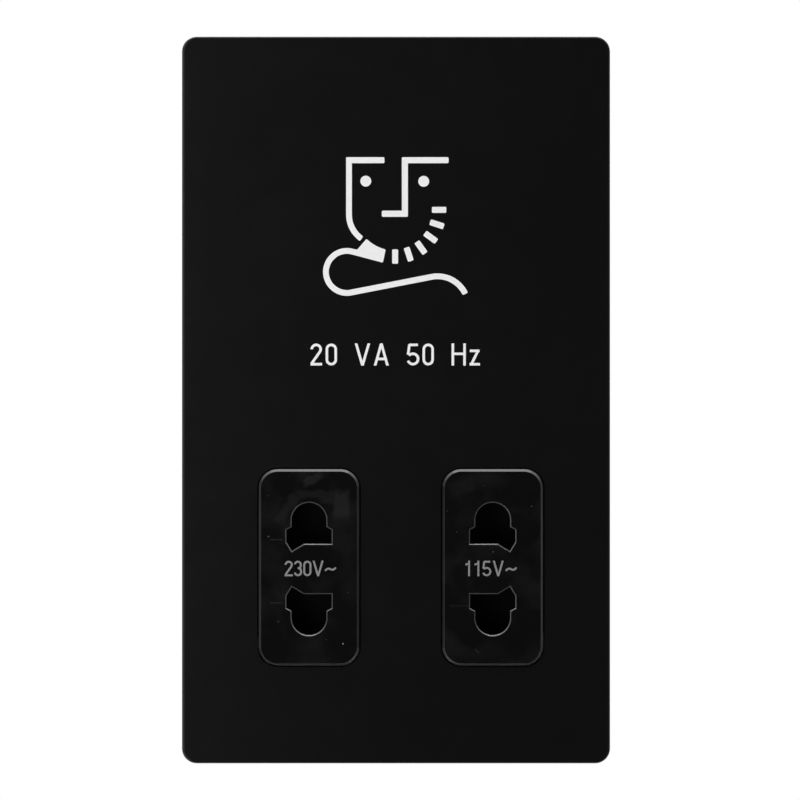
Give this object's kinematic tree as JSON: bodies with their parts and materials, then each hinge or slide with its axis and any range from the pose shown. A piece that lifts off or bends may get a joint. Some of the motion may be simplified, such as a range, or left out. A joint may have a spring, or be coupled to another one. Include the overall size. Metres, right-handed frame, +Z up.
{
  "type": "shaver socket",
  "caption": "Flat two-gang wall plate with two shuttered shaver outlets and an isolating transformer in a stepped rear housing, on two fixing holes.",
  "frame": {"origin": "on the wall plane, which is the back face of the mounting frame, midway between the two fixing holes", "axes": "+Z up, +Y into the wall, +X to the right seen from the front; the plate faces -Y"},
  "size_m": [0.086, 0.0448, 0.146],
  "materials": {
    "cover": "satin",
    "front_plastic": "polished",
    "frame_plastic": "fine moulded grain",
    "housing_plastic": "spark-eroded moulding",
    "carrier_plastic": "moulded",
    "shutter_plastic": "moulded",
    "switch_plastic": "moulded",
    "button_plastic": "moulded",
    "bobbin_plastic": "moulded",
    "block_plastic": "moulded",
    "brass": "pressed strip",
    "copper_wire": "enamelled wire",
    "tape": "polyester tape",
    "core_steel": "varnished laminations",
    "zinc_steel": "zinc plated",
    "spring_steel": "bright wire",
    "white_ink": "screen print",
    "grey_ink": "screen print",
    "cutout_case": "moulded"
  },
  "bodies": {
    "unit": {"cover_plate": "cover", "mounting_frame": "frame_plastic", "socket_front": "front_plastic", "contact_carrier": "carrier_plastic", "contact_common": "brass", "contact_230": "brass", "contact_115": "brass", "shutter_spring_230": "spring_steel", "shutter_spring_115": "spring_steel", "switch_body_230": "switch_plastic", "switch_body_115": "switch_plastic", "switch_terminals_230": "brass", "switch_terminals_115": "brass", "rear_housing": "housing_plastic", "case_screws": "zinc_steel", "carrier_screws": "zinc_steel", "transformer_core": "core_steel", "transformer_bobbin": "bobbin_plastic", "primary_winding": "copper_wire", "secondary_winding": "copper_wire", "winding_tape": "tape", "core_clamps": "zinc_steel", "thermal_cutout": "cutout_case", "terminal_block": "block_plastic", "terminal_clamps": "brass", "terminal_screws": "zinc_steel", "earth_spring": "brass", "earth_screw": "zinc_steel", "earth_nut": "zinc_steel"},
    "shutter_230": {"shutter_230": "shutter_plastic"},
    "shutter_115": {"shutter_115": "shutter_plastic"},
    "button_230": {"switch_plunger_230": "button_plastic"},
    "button_115": {"switch_plunger_115": "button_plastic"}
  },
  "joints": [
    {"name": "shutter_230_slide", "type": "slide", "parent": "unit", "child": "shutter_230", "axis": [0, 0, 1], "range_m": [0, 0.0086], "stiffness_N_per_m": 40, "springref_m": -0.004, "deforming": ["shutter_spring_230"]},
    {"name": "shutter_115_slide", "type": "slide", "parent": "unit", "child": "shutter_115", "axis": [0, 0, 1], "range_m": [0, 0.0086], "stiffness_N_per_m": 40, "springref_m": -0.004, "deforming": ["shutter_spring_115"]},
    {"name": "button_230_press", "type": "slide", "parent": "unit", "child": "button_230", "axis": [1, 0, 0], "range_m": [0, 0.0012]},
    {"name": "button_115_press", "type": "slide", "parent": "unit", "child": "button_115", "axis": [-1, 0, 0], "range_m": [0, 0.0012]}
  ],
  "couplings": [
    {"joint": "button_230_press", "follows": "shutter_230_slide", "ratio": 0.1395},
    {"joint": "button_115_press", "follows": "shutter_115_slide", "ratio": 0.1395}
  ]
}
